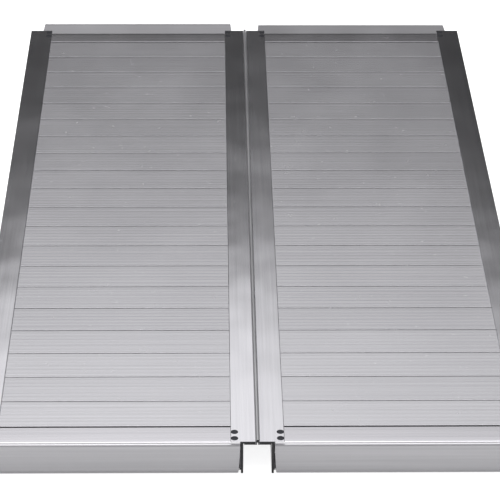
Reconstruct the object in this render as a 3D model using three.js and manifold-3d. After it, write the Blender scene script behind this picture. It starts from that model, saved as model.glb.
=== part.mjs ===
// A portable wheelchair ramp that folds in half along its length, like a suitcase.
//
// Two long deck panels lie side by side, joined down the middle by a continuous hinge. Each panel
// is a frame of two extruded side rails and two extruded end beams, filled with twenty cross planks.
// A short flap hangs in a bead-and-socket hinge on each end of each panel, and each outer rail has
// a drop handle that hangs under its overhanging flange.
//
// Millimetres, +Z up. X runs across the ramp and Y along it, from the lower end to the upper end.
// The rails' feet stand on Z = 0. The two panels are called left (-X) and right (+X).

import * as THREE from "three";
import { mergeVertices } from "three/addons/utils/BufferGeometryUtils.js";
import Module from "manifold-3d";

const wasm = await Module();
wasm.setup();

// ---------------------------------------------------------------- driving dimensions

const GAP = 0.3; // between pieces that touch

// the ramp as a whole
const HALF_WIDTH = 365; // centre line to the outer edge of an outer rail
const HINGE_CLEARANCE = 2.5; // centre line to the inner edge of an inner rail
const FRAME_HEIGHT = 52;

// deck planks
const PLANKS = 20; // on each panel
const PLANK_PITCH = 57.2;
const PLANK_JOINT = 2.0; // open joint between neighbouring planks
const PLANK_HEIGHT = 20;
const PLANK_SKIN = 2.2;
const PLANK_LEG = 1.6;
const PLANK_LIP = 6;
const PLANK_CHAMFER = 1.1;

// side rails: a T-shaped head, a web, a ledge under the planks and a foot
const OUTER_FLANGE_WIDTH = 36;
const INNER_FLANGE_WIDTH = 31.5;
const FLANGE_THICK = 3;
const WEB_SETBACK = 20; // an outer rail's flange edge to its web's outside face
const INNER_WEB_SETBACK = 15.5;
const WEB_THICK = 3;
const LEDGE_THICK = 2.5;
const OUTER_FOOT_OUT = 8; // how far the foot reaches outside the web
const INNER_FOOT_OUT = 0;
const HEAD_PAST_BEAD = 5.5; // how far the head reaches past the flap's axis
const EDGE_CHAMFER = 0.7;

// end beams, with the socket that the flap's bead turns in
const BEAD_RADIUS = 4;
const SOCKET_WALL = 1.6;
const BEAM_SKIN = 2.5;
const BEAM_END_STRIP = 38; // last plank to the outermost point of the bead
const BEAM_FOOT = 14;
const SOCKET_LIP = 1.5; // how far the upper lip reaches past the bead's axis

// flaps
const FLAP_LENGTH = 41; // bead axis to tip
const FLAP_THICK = 3;
const FLAP_INSET = 19.5; // panel's edge to the flap's edge, at the root
const FLAP_TAPER = 2; // narrowing of each side from root to tip
const FLAP_CORNER = 5;
const FLAP_STRAIGHT = 4.7; // bead axis to where the taper starts
const LOWER_FLAP_ANGLE = 90; // degrees below level: hanging
const UPPER_FLAP_ANGLE = { left: -4, right: -1 }; // laid out, raised a little above level

// centre hinge
const KNUCKLE_RADIUS = 2.2;
const KNUCKLE_BORE = 1.35;
const PIN_RADIUS = KNUCKLE_BORE - GAP;
const PIN_RISE = 0.4; // the pin's axis above the rails' top faces
const KNUCKLES = 24; // shared between the two leaves
const KNUCKLE_GAP = 0.5;
const LEAF_THICK = 1.5;
const LEAF_WIDTH = 16.5;
const LEAF_EDGE = 0.6; // centre line to a leaf's near edge
const RISER_WIDTH = 1.6;

// drop handles on the outer rails
const HANDLE_PIVOT_Z = 42;
const HANDLE_PIVOT_INSET = 6; // flange edge to the handle's axis
const HANDLE_SPAN = 120; // over both arms
const HANDLE_ARM = 8;
const HANDLE_GRIP = 11;
const HANDLE_DROP = 39; // axis to the underside of the grip
const HANDLE_THICK = 8;
const HANDLE_CORNER = 9;
const TRUNNION_RADIUS = 2;
const TRUNNION_LENGTH = 4;
const LUG_RADIUS = 4.5;
const LUG_THICK = 5;
const LUG_GAP = 0.5;
const BASE_THICK = 3;
const BASE_HEIGHT = 20;
const BASE_END = 16; // base plate past each lug, for its screws

// ---------------------------------------------------------------- derived sizes

const DECK_HALF = (PLANKS * PLANK_PITCH) / 2;
const FLANGE_UNDER = FRAME_HEIGHT - FLANGE_THICK;
const DECK_TOP = FLANGE_UNDER - GAP;
const LEDGE_TOP = DECK_TOP - PLANK_HEIGHT - GAP;
const SOCKET_RADIUS = BEAD_RADIUS + GAP;
const BEAD_Z = DECK_TOP - SOCKET_WALL - SOCKET_RADIUS;
const BEAD_Y = DECK_HALF + BEAM_END_STRIP - BEAD_RADIUS;
const RAIL_LENGTH = 2 * (BEAD_Y + HEAD_PAST_BEAD);
const RAIL_NOTCH = RAIL_LENGTH / 2 - (BEAD_Y - SOCKET_RADIUS - SOCKET_WALL) + 0.4;
const PANEL_CENTRE = (HALF_WIDTH + HINGE_CLEARANCE) / 2;
const PANEL_WIDTH = HALF_WIDTH - HINGE_CLEARANCE;
const INSIDE_WIDTH = PANEL_WIDTH - 2 * (WEB_SETBACK + WEB_THICK) - 1;
const FLAP_WIDTH = PANEL_WIDTH - 2 * FLAP_INSET;
const PIN_Z = FRAME_HEIGHT + PIN_RISE;

// ---------------------------------------------------------------- finishes

const finish = (color, roughness, metalness) =>
  new THREE.MeshStandardMaterial({ color, roughness, metalness });

const millAluminium = finish(0xc9ccd1, 0.25, 1);
const ribbedAluminium = finish(0xb9bbc1, 0.45, 1);
const flapAluminium = finish(0xb4b6bb, 0.4, 1);
const hingeSteel = finish(0xa8abb0, 0.3, 1);
const blackPlastic = finish(0x1b1c1f, 0.55, 0);
const blackPaint = finish(0x24262a, 0.4, 0.5);

// ---------------------------------------------------------------- geometry helpers

const rad = THREE.MathUtils.degToRad;

// A shape from corner points [a, b].
function outline(points) {
  return new THREE.Shape(points.map(([a, b]) => new THREE.Vector2(a, b)));
}

// Points on an arc about (a, b), from one angle to another in degrees, both ends included.
function arc(a, b, radius, from, to, steps) {
  return Array.from({ length: steps + 1 }, (_, i) => {
    const t = rad(from + ((to - from) * i) / steps);
    return [a + radius * Math.cos(t), b + radius * Math.sin(t)];
  });
}

// A profile drawn in (X, Z), run along Y and centred on the origin.
function runAlongY(shape, length) {
  return new THREE.ExtrudeGeometry(shape, { depth: length, bevelEnabled: false })
    .rotateX(Math.PI / 2)
    .translate(0, length / 2, 0);
}

// A profile drawn in (Y, Z), run along X and centred on the origin.
function runAlongX(shape, length) {
  const axes = new THREE.Matrix4().makeBasis(
    new THREE.Vector3(0, 1, 0),
    new THREE.Vector3(0, 0, 1),
    new THREE.Vector3(1, 0, 0),
  );
  return new THREE.ExtrudeGeometry(shape, { depth: length, bevelEnabled: false })
    .applyMatrix4(axes)
    .translate(-length / 2, 0, 0);
}

// A closed geometry as a manifold-3d solid, for booleans.
function toSolid(geometry) {
  const bare = geometry.clone();
  bare.deleteAttribute("normal");
  bare.deleteAttribute("uv");
  const merged = mergeVertices(bare, 1e-4);
  return new wasm.Manifold(
    new wasm.Mesh({
      numProp: 3,
      vertProperties: new Float32Array(merged.attributes.position.array),
      triVerts: new Uint32Array(merged.index.array),
    }),
  );
}

// A manifold-3d solid back as a geometry.
function toGeometry(solid) {
  const mesh = solid.getMesh();
  const geometry = new THREE.BufferGeometry()
    .setAttribute("position", new THREE.BufferAttribute(mesh.vertProperties, 3))
    .setIndex(new THREE.BufferAttribute(mesh.triVerts, 1));
  geometry.computeVertexNormals();
  return geometry;
}

function named(name, geometry, material) {
  const mesh = new THREE.Mesh(geometry, material);
  mesh.name = name;
  return mesh;
}

// ---------------------------------------------------------------- side rails

// Drawn from the flange's free edge at X = 0; the planks lie on the +X side. At both ends
// everything under the head that is further in than clearFrom is cut back, to let the end beam's
// socket pass beneath it.
function railGeometry({ width, web, footOut, clearFrom }) {
  const c = EDGE_CHAMFER;
  const inside = web + WEB_THICK;
  const foot = [
    [web, LEDGE_THICK],
    [web - footOut, LEDGE_THICK],
  ];
  const bar = runAlongY(
    outline([
      [web - footOut, 0],
      [width, 0],
      [width, LEDGE_THICK],
      [inside, LEDGE_THICK],
      [inside, LEDGE_TOP - LEDGE_THICK],
      [width, LEDGE_TOP - LEDGE_THICK],
      [width, LEDGE_TOP],
      [inside, LEDGE_TOP],
      [inside, FLANGE_UNDER],
      [width, FLANGE_UNDER],
      [width, FRAME_HEIGHT - c],
      [width - c, FRAME_HEIGHT],
      [c, FRAME_HEIGHT],
      [0, FRAME_HEIGHT - c],
      [0, FLANGE_UNDER],
      [web, FLANGE_UNDER],
      ...(footOut > 0 ? foot : []),
    ]),
    RAIL_LENGTH,
  );
  const cut = new THREE.BoxGeometry(2 * width, 2 * RAIL_NOTCH, 2 * FLANGE_UNDER);
  const notch = (end) =>
    toSolid(cut.clone().translate(clearFrom + width, (end * RAIL_LENGTH) / 2, 0));
  return toGeometry(toSolid(bar).subtract(notch(1)).subtract(notch(-1)));
}

// facing is +1 when the planks are on the rail's +X side; a rail facing -1 is turned end for end.
function rail(name, edgeX, facing, profile) {
  const mesh = named(name, railGeometry(profile), millAluminium);
  mesh.position.x = edgeX;
  mesh.rotation.z = facing > 0 ? 0 : Math.PI;
  return mesh;
}

function outerRail(side, facing) {
  return rail(`rail_outer_${side}`, facing * HALF_WIDTH, -facing, {
    width: OUTER_FLANGE_WIDTH,
    web: WEB_SETBACK,
    footOut: OUTER_FOOT_OUT,
    clearFrom: -1,
  });
}

// The inner rail's web is outside the flap's edge, so it runs the rail's whole length.
function innerRail(side, facing) {
  return rail(`rail_inner_${side}`, facing * HINGE_CLEARANCE, facing, {
    width: INNER_FLANGE_WIDTH,
    web: INNER_WEB_SETBACK,
    footOut: INNER_FOOT_OUT,
    clearFrom: FLAP_INSET - GAP,
  });
}

// ---------------------------------------------------------------- deck planks

// An open-bottomed extrusion: a top skin on three legs, the outer two with lips.
function plankGeometry() {
  const half = (PLANK_PITCH - PLANK_JOINT) / 2;
  const leg = PLANK_LEG / 2;
  const c = PLANK_CHAMFER;
  const side = [
    [half - c, 0],
    [half, -c],
    [half, -PLANK_HEIGHT],
    [half - PLANK_LIP, -PLANK_HEIGHT],
    [half - PLANK_LIP, -PLANK_HEIGHT + PLANK_LEG],
    [half - PLANK_LEG, -PLANK_HEIGHT + PLANK_LEG],
    [half - PLANK_LEG, -PLANK_SKIN],
    [leg, -PLANK_SKIN],
    [leg, -PLANK_HEIGHT],
  ];
  const mirrored = side.map(([y, z]) => [-y, z]).reverse();
  return runAlongX(outline([...side, ...mirrored].reverse()), INSIDE_WIDTH);
}

function planks(side) {
  return Array.from({ length: PLANKS }, (_, i) => {
    const number = String(i + 1).padStart(2, "0");
    const mesh = named(`plank_${side}_${number}`, plankGeometry(), ribbedAluminium);
    mesh.position.set(0, -DECK_HALF + (i + 0.5) * PLANK_PITCH, DECK_TOP);
    return mesh;
  });
}

// ---------------------------------------------------------------- end beams

// Drawn with the bead's axis at the origin and the ramp's end towards +Y. Between the rails is a
// top strip with a leg and a foot that stands on the rails' ledges. The socket that wraps the
// bead's back is wider, and passes under the rails' heads.
function endBeamGeometry() {
  const top = DECK_TOP - BEAD_Z;
  const under = top - BEAM_SKIN;
  const inner = DECK_HALF - BEAD_Y + PLANK_JOINT / 2;
  const foot = LEDGE_TOP + GAP - BEAD_Z;
  const wall = SOCKET_RADIUS + SOCKET_WALL;
  const lowerLip = 8; // degrees that the lower lip reaches past the bead's bottom
  const socket = outline([
    [-wall, top],
    ...arc(0, 0, wall, 180, 270 + lowerLip, 7),
    ...arc(0, 0, SOCKET_RADIUS, 270 + lowerLip, 90, 10),
    [SOCKET_LIP, SOCKET_RADIUS],
    [SOCKET_LIP, top - 0.8],
    [SOCKET_LIP - 0.8, top],
  ]);
  const strip = outline([
    [inner, foot],
    [inner + BEAM_FOOT, foot],
    [inner + BEAM_FOOT, foot + BEAM_SKIN],
    [inner + BEAM_SKIN, foot + BEAM_SKIN],
    [inner + BEAM_SKIN, under],
    [1 - wall, under],
    [1 - wall, top],
    [inner + 0.6, top],
    [inner, top - 0.6],
  ]);
  return toGeometry(
    toSolid(runAlongX(socket, FLAP_WIDTH)).add(toSolid(runAlongX(strip, INSIDE_WIDTH))),
  );
}

// ---------------------------------------------------------------- flaps

// Drawn level, pointing along +Y from the bead's axis: a plate whose top face runs off the bead's
// top, with a thinned nose. In plan the plate tapers and its outer corners are rounded.
function flapGeometry() {
  const top = BEAD_RADIUS;
  const under = BEAD_RADIUS - FLAP_THICK;
  const bead = THREE.MathUtils.radToDeg(Math.asin(under / BEAD_RADIUS));
  const profile = outline([
    [FLAP_LENGTH - 1, under],
    [FLAP_LENGTH, under + 0.8],
    [FLAP_LENGTH, under + 1.4],
    [FLAP_LENGTH - 4, top],
    ...arc(0, 0, BEAD_RADIUS, 90, 360 + bead, 15),
  ]);
  const root = FLAP_WIDTH / 2;
  const tip = root - FLAP_TAPER;
  const r = FLAP_CORNER;
  const sideways = [
    [root, -BEAD_RADIUS - 1],
    [root, FLAP_STRAIGHT],
    ...arc(tip - r, FLAP_LENGTH - r, r, 4, 90, 5),
  ];
  const mirrored = sideways.map(([x, y]) => [-x, y]).reverse();
  const plan = new THREE.ExtrudeGeometry(outline([...sideways, ...mirrored]), {
    depth: 4 * BEAD_RADIUS,
    bevelEnabled: false,
  }).translate(0, 0, -2 * BEAD_RADIUS);
  return toGeometry(toSolid(runAlongX(profile, FLAP_WIDTH)).intersect(toSolid(plan)));
}

// One end of a panel: the fixed beam, and the flap turned down about the bead's axis.
// end is +1 for the upper end; the lower end is the same pair turned about Z.
function panelEnd(side, place, end, flapAngle) {
  const group = new THREE.Group();
  group.position.set(0, end * BEAD_Y, BEAD_Z);
  group.rotation.z = end > 0 ? 0 : Math.PI;
  const flap = named(`flap_${place}_${side}`, flapGeometry(), flapAluminium);
  flap.rotation.x = -rad(flapAngle);
  group.add(named(`end_beam_${place}_${side}`, endBeamGeometry(), millAluminium), flap);
  return group;
}

// ---------------------------------------------------------------- centre hinge

// A bar with a rectangular section from (x0, z0) to (x1, z1), run along Y.
function barSolid(x0, x1, z0, z1, length) {
  const corners = outline([
    [x0, z0],
    [x1, z0],
    [x1, z1],
    [x0, z1],
  ]);
  return toSolid(runAlongY(corners, length));
}

// Drawn about the pin's axis. The leaf lies under the rail's flange, and on every second knuckle
// a riser lifts it to a barrel round the pin. The two leaves are the same, one turned end for end,
// so their knuckles interleave.
function hingeLeafGeometry() {
  const plateTop = -(PIN_RISE + FLANGE_THICK + GAP);
  const plateUnder = plateTop - LEAF_THICK;
  const pitch = RAIL_LENGTH / KNUCKLES;
  const knuckle = pitch - KNUCKLE_GAP;
  const barrel = toSolid(runAlongY(outline(arc(0, 0, KNUCKLE_RADIUS, 0, 330, 11)), knuckle));
  const riser = barSolid(
    LEAF_EDGE,
    LEAF_EDGE + RISER_WIDTH,
    plateTop - LEAF_THICK / 2,
    -KNUCKLE_BORE,
    knuckle,
  );
  let leaf = barSolid(LEAF_EDGE, LEAF_EDGE + LEAF_WIDTH, plateUnder, plateTop, RAIL_LENGTH);
  for (let i = 0; i < KNUCKLES; i += 2) {
    const y = -RAIL_LENGTH / 2 + (i + 0.5) * pitch;
    leaf = leaf.add(barrel.translate([0, y, 0])).add(riser.translate([0, y, 0]));
  }
  const bore = outline(arc(0, 0, KNUCKLE_BORE, 0, 315, 7));
  return toGeometry(leaf.subtract(toSolid(runAlongY(bore, RAIL_LENGTH + 2))));
}

function hingeLeaf(name, facing) {
  const mesh = named(name, hingeLeafGeometry(), hingeSteel);
  mesh.position.z = PIN_Z;
  mesh.rotation.z = facing > 0 ? 0 : Math.PI;
  return mesh;
}

function hingePin() {
  const geometry = new THREE.CylinderGeometry(PIN_RADIUS, PIN_RADIUS, RAIL_LENGTH, 10);
  const mesh = named("hinge_pin", geometry, hingeSteel);
  mesh.position.z = PIN_Z;
  return mesh;
}

// ---------------------------------------------------------------- drop handles

// Both pieces are drawn about the handle's axis, with the rail's web on the -X side.
function handleBaseGeometry() {
  const web = -(WEB_SETBACK - HANDLE_PIVOT_INSET) + GAP;
  const lugY = HANDLE_SPAN / 2 + LUG_GAP + LUG_THICK / 2;
  const plateHalf = lugY + LUG_THICK / 2 + BASE_END;
  const lug = toSolid(
    runAlongY(
      outline([
        [web + BASE_THICK / 2, -LUG_RADIUS],
        ...arc(0, 0, LUG_RADIUS, 270, 450, 9),
        [web + BASE_THICK / 2, LUG_RADIUS],
      ]),
      LUG_THICK,
    ),
  );
  const bore = toSolid(
    runAlongY(outline(arc(0, 0, TRUNNION_RADIUS + GAP, 0, 337.5, 15)), 4 * plateHalf),
  );
  return toGeometry(
    barSolid(web, web + BASE_THICK, LUG_RADIUS - BASE_HEIGHT, LUG_RADIUS, 2 * plateHalf)
      .add(lug.translate([0, lugY, 0]))
      .add(lug.translate([0, -lugY, 0]))
      .subtract(bore),
  );
}

// A U-shaped bail hanging from two trunnions.
function handleBailGeometry() {
  const half = HANDLE_SPAN / 2;
  const inside = half - HANDLE_ARM;
  const r = HANDLE_CORNER;
  const round = HANDLE_ARM / 2;
  const side = [
    ...arc(half - round, 0, round, 180, 0, 6),
    ...arc(half - r, -HANDLE_DROP + r, r, 0, -90, 5),
  ];
  const hollow = [
    [-inside, -HANDLE_DROP + HANDLE_GRIP + 4],
    [-inside + 4, -HANDLE_DROP + HANDLE_GRIP],
    [inside - 4, -HANDLE_DROP + HANDLE_GRIP],
    [inside, -HANDLE_DROP + HANDLE_GRIP + 4],
  ];
  const mirrored = side.map(([y, z]) => [-y, z]).reverse();
  const frame = outline([...hollow, ...side, ...mirrored]);
  const trunnion = toSolid(
    runAlongY(outline(arc(0, 0, TRUNNION_RADIUS, 0, 337.5, 15)), 2 * TRUNNION_LENGTH),
  );
  return toGeometry(
    toSolid(runAlongX(frame, HANDLE_THICK))
      .add(trunnion.translate([0, half, 0]))
      .add(trunnion.translate([0, -half, 0])),
  );
}

function dropHandle(side, facing) {
  const group = new THREE.Group();
  group.position.set(facing * (HALF_WIDTH - HANDLE_PIVOT_INSET), 0, HANDLE_PIVOT_Z);
  group.rotation.z = facing > 0 ? 0 : Math.PI;
  group.add(
    named(`handle_base_${side}`, handleBaseGeometry(), blackPaint),
    named(`handle_bail_${side}`, handleBailGeometry(), blackPlastic),
  );
  return group;
}

// ---------------------------------------------------------------- assembly

// facing is +1 for the right panel and -1 for the left one.
function panel(side, facing) {
  const deck = new THREE.Group();
  deck.position.x = facing * PANEL_CENTRE;
  deck.add(
    ...planks(side),
    panelEnd(side, "lower", -1, LOWER_FLAP_ANGLE),
    panelEnd(side, "upper", 1, UPPER_FLAP_ANGLE[side]),
  );
  const group = new THREE.Group();
  group.add(
    deck,
    outerRail(side, facing),
    innerRail(side, facing),
    hingeLeaf(`hinge_leaf_${side}`, facing),
    dropHandle(side, facing),
  );
  return group;
}

// How far past the bead's axis an upper flap reaches.
function flapReach(angle) {
  const a = rad(angle);
  const nose = [0.8, 1.4].map((t) => BEAD_RADIUS - FLAP_THICK + t);
  return Math.max(...nose.map((z) => FLAP_LENGTH * Math.cos(a) + z * Math.sin(a)));
}

// At the lower end the rails' heads reach furthest and at the upper end the flaps do, so the whole
// ramp is moved along Y until the origin is under the middle of its outline.
function middleOfLength() {
  const upper = Math.max(...Object.values(UPPER_FLAP_ANGLE).map(flapReach));
  return (upper - HEAD_PAST_BEAD) / 2;
}

const ramp = new THREE.Group();
ramp.add(panel("left", -1), panel("right", 1), hingePin());
ramp.position.y = -middleOfLength();

export default ramp;
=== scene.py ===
# %% [markdown]
# # A folding wheelchair ramp in ribbed aluminium
#
# The ramp is two long panels joined by a hinge down the middle, so that it closes like a
# suitcase. Each panel is a frame of extruded rails and end beams filled with twenty cross planks,
# with a short flap at each end to smooth the step on and off.
#
# Nearly every piece of it is an extrusion: one flat profile, carried in a straight line. So this
# lesson is mostly about one idea. Draw a profile well, with its real corner radii, and carry it.
# The radii matter more than anything else here, because on bare metal it is the rounded edges
# that catch the light.

import bpy
import numpy as np
from mathutils import Matrix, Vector
from mathutils.geometry import tessellate_polygon


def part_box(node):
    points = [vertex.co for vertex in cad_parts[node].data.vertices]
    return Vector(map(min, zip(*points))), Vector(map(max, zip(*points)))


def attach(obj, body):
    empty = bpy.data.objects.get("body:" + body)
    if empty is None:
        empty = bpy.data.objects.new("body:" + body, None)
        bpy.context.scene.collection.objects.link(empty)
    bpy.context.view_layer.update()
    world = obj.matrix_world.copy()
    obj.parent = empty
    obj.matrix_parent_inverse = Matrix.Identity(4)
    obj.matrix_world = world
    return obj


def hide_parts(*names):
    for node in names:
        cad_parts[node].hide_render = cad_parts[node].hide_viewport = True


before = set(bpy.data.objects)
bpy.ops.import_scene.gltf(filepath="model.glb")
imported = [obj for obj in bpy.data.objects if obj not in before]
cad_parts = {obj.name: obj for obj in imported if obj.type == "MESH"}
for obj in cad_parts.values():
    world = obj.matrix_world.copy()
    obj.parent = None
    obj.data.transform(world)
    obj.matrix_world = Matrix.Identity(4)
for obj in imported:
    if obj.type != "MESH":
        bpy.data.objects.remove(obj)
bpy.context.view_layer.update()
scene = bpy.context.scene
MM = 0.001

# %% [markdown]
# ## The camera
#
# A long lens a little over three metres away looks down the ramp from its lower end. The long
# lens keeps the rails nearly parallel. The camera's three axes are written out from its pan, tilt
# and roll, which is easier to reason about than Euler angles.

# %% Place the camera
CAMERA_PLACE = (-0.0584, -3.0180, 1.7278)
PAN, TILT, ROLL = np.radians([1.1217, 30.306, 0.4604])
LENS, SENSOR = 166.44, 36  # focal length and sensor width, in millimetres


def camera_axes(pan, tilt, roll):
    """The camera's right, up and backward directions as the columns of a 3 by 3 array."""
    ahead = np.array([np.sin(pan) * np.cos(tilt), np.cos(pan) * np.cos(tilt), -np.sin(tilt)])
    level = np.array([np.cos(pan), -np.sin(pan), 0.0])
    over = np.cross(level, ahead)
    right = level * np.cos(roll) + over * np.sin(roll)
    return np.stack([right, np.cross(right, ahead), -ahead], axis=1)


camera_data = bpy.data.cameras.new("camera")
camera_data.sensor_width = SENSOR
camera_data.lens = LENS
camera = bpy.data.objects.new("camera", camera_data)
scene.collection.objects.link(camera)
camera.matrix_world = (
    Matrix.Translation(CAMERA_PLACE)
    @ Matrix(camera_axes(PAN, TILT, ROLL).tolist()).to_4x4()
)
scene.camera = camera
print("camera at", CAMERA_PLACE)

# %% [markdown]
# ## Floor and light
#
# Polished metal has almost no colour of its own. It shows the room, so the room is designed
# first. A dim band low round the walls and a bright ceiling above it give the rails their
# two tones: where a rail mirrors the wall it is dark, and where it mirrors the ceiling it is
# bright. The change falls where the mirrored ray climbs past the band's upper edge. The world
# shader does this with one ramp on the ray's height, which costs nothing to render. The band
# rises a little either side of the middle, and the light falls off slightly towards +X. The near
# and side walls are left light, so that the faces turned towards them aren't lost.

# %% Room: a dim wall that brightens upwards, then a bright ceiling
# (sine of the ray's height angle, brightness there)
ROOM = [
    (0.0, 0.05), (0.40, 0.055), (0.44, 0.075), (0.476, 0.14), (0.499, 0.24),
    (0.512, 0.38), (0.520, 0.80), (0.560, 1.0), (0.75, 0.98), (1.0, 0.9),
]
NEAR_WALL = 0.42  # brightness of the near and side walls
NEAR_FROM, NEAR_FULL = 0.7, 0.3  # the ray's Y where those walls begin, and where they are full
BAND_RISE, BAND_RISE_LIMIT = 1.1, 0.02  # how fast, and how far, the band rises to either side
LEFT_LIGHT, RIGHT_LIGHT = 1.04, 0.9  # factors on the brightness, for the fall towards +X

world = bpy.data.worlds.new("room")
scene.world = world
world.use_nodes = True
nodes, links = world.node_tree.nodes, world.node_tree.links
nodes.clear()


def world_node(kind, **inputs):
    """A node in the room's shader, with its named sockets set."""
    made = nodes.new(kind)
    for socket, value in inputs.items():
        made.inputs[socket].default_value = value
    return made


ray = world_node("ShaderNodeTexCoord")
split = world_node("ShaderNodeSeparateXYZ")
climb = world_node("ShaderNodeValToRGB")
stops = climb.color_ramp.elements
stops[0].position, stops[1].position = ROOM[0][0], ROOM[-1][0]
for place, _ in ROOM[1:-1]:
    stops.new(place)
for stop, (_, light) in zip(stops, ROOM):
    stop.color = (light, light, light, 1)
room_light = world_node("ShaderNodeBackground", Color=(0.985, 0.98, 1.0, 1.0))
backdrop = world_node("ShaderNodeBackground", Color=(1.0, 1.0, 1.0, 1.0), Strength=1.0)
path = world_node("ShaderNodeLightPath")
choose = world_node("ShaderNodeMixShader")
output = world_node("ShaderNodeOutputWorld")
links.new(ray.outputs["Generated"], split.inputs["Vector"])


def world_math(operation, a, b):
    """A sum, product or the like of two values in the room's shader."""
    made = world_node("ShaderNodeMath")
    made.operation = operation
    for socket, value in zip(made.inputs, (a, b)):
        if isinstance(value, bpy.types.NodeSocket):
            links.new(value, socket)
        else:
            socket.default_value = value
    return made.outputs["Value"]


def world_range(value, start, stop, at_start, at_stop):
    """value mapped in a straight line from start..stop to at_start..at_stop, and held there."""
    made = world_node("ShaderNodeMapRange")
    for socket, number in zip(list(made.inputs)[1:5], (start, stop, at_start, at_stop)):
        socket.default_value = number
    links.new(value, made.inputs["Value"])
    return made.outputs["Result"]


x = split.outputs["X"]
to_side = world_math("MULTIPLY", world_math("MULTIPLY", x, x), BAND_RISE)
rise = world_math("MINIMUM", to_side, BAND_RISE_LIMIT)
links.new(world_math("SUBTRACT", split.outputs["Z"], rise), climb.inputs["Fac"])
near_wall = world_range(split.outputs["Y"], NEAR_FROM, NEAR_FULL, 0.0, NEAR_WALL)
room = world_math("MAXIMUM", climb.outputs["Color"], near_wall)
strength = world_math("MULTIPLY", room, world_range(x, -0.1, 0.1, LEFT_LIGHT, RIGHT_LIGHT))
links.new(strength, room_light.inputs["Strength"])
links.new(path.outputs["Is Camera Ray"], choose.inputs["Fac"])
links.new(room_light.outputs["Background"], choose.inputs[1])
links.new(backdrop.outputs["Background"], choose.inputs[2])
links.new(choose.outputs["Shader"], output.inputs["Surface"])
print("room: a ramp of", len(ROOM), "stops")

# %% [markdown]
# The room alone leaves the matt parts a little flat. One large lamp high above adds soft light
# from overhead, and because it is so large, the shadows under the rails' heads stay soft too.

# %% Overhead softbox
SOFTBOX_SIZE, SOFTBOX_WATTS = 4.0, 110

softbox_data = bpy.data.lights.new("softbox", "AREA")
softbox_data.shape = "RECTANGLE"
softbox_data.size, softbox_data.size_y = SOFTBOX_SIZE, SOFTBOX_SIZE
softbox_data.energy = SOFTBOX_WATTS
softbox = bpy.data.objects.new("softbox", softbox_data)
scene.collection.objects.link(softbox)
softbox.location = (0.0, -0.4, 3.6)
scene.view_settings.view_transform = "Standard"
print("softbox at", tuple(round(v, 2) for v in softbox.location))

# %% [markdown]
# ## A mesh from arrays
#
# Every piece below is computed as a grid of points, rows by columns, and joined into four-sided
# faces by index arithmetic on whole arrays. The same few lines then serve for profiles that are
# carried straight, for turned rivet heads and for the curved handle.


# %% Grid faces and mesh making
def grid_faces(rows, columns, around=True):
    """Quads of a rows by columns grid. With around, the last column joins the first."""
    r = np.arange(rows - 1)[:, None]
    c = np.arange(columns if around else columns - 1)[None, :]
    n = (c + 1) % columns
    here, ahead = r * columns, (r + 1) * columns
    return np.stack([here + c, here + n, ahead + n, ahead + c], -1).reshape(-1, 4)


def make_piece(name, points, faces, body, material, replaced=(), crease=28, ends=None):
    """Points in metres and lists of corner numbers become a piece that rides on a body.

    ends is a second material, for the faces square across a bar that runs along Y."""
    mesh = bpy.data.meshes.new(name)
    mesh.from_pydata(np.asarray(points, float).reshape(-1, 3).tolist(), [], faces)
    mesh.shade_smooth()
    mesh.set_sharp_from_angle(angle=np.radians(crease))
    mesh.materials.append(material)
    if ends:
        mesh.materials.append(ends)
        for face in mesh.polygons:
            face.material_index = int(abs(face.normal.y) > 0.99)
    piece = bpy.data.objects.new(name, mesh)
    scene.collection.objects.link(piece)
    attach(piece, body)
    if replaced:
        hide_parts(*replaced)
    even = piece.modifiers.new("flat faces shade flat", "WEIGHTED_NORMAL")
    even.keep_sharp = True


# %% [markdown]
# A real extrusion has no knife edges. Each corner of a profile is replaced by a short curve that
# leaves one side and arrives at the next smoothly: a quadratic blend of three points, the corner
# itself and one point back along each side.


# %% Rounded profiles, carried straight
def rounded(corners, radii, steps=4):
    """(1-s)^2 times a point before the corner, 2s(1-s) times the corner, s^2 times one after."""
    at = np.asarray(corners, float)
    reach = np.broadcast_to(np.asarray(radii, float), len(at))[:, None, None]

    def towards(other):
        step = other - at
        return (step / np.linalg.norm(step, axis=1, keepdims=True))[:, None, :]

    before, after = towards(np.roll(at, 1, 0)), towards(np.roll(at, -1, 0))
    s = np.linspace(0, 1, steps + 1)[None, :, None]
    corner = at[:, None, :]
    start, stop = corner + reach * before, corner + reach * after
    curve = (1 - s) ** 2 * start + 2 * s * (1 - s) * corner + s**2 * stop
    points = curve.reshape(-1, 2)
    moved = np.linalg.norm(points - np.roll(points, 1, 0), axis=1) > 1e-6
    return points[moved]


def cap(loop):
    """The area inside a closed profile as triangles of corner numbers, wound as the profile is."""
    middle = loop.mean(0)
    triangles = np.array(tessellate_polygon([[(a, b, 0.0) for a, b in loop - middle]]))
    one, two, three = (loop[triangles[:, i]] for i in range(3))
    u, v = two - one, three - one
    turn = u[:, 0] * v[:, 1] - u[:, 1] * v[:, 0]
    ahead = np.roll(loop, -1, 0)
    area = np.sum(loop[:, 0] * ahead[:, 1] - ahead[:, 0] * loop[:, 1])
    return np.where((turn * area < 0)[:, None], triangles[:, ::-1], triangles)


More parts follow.
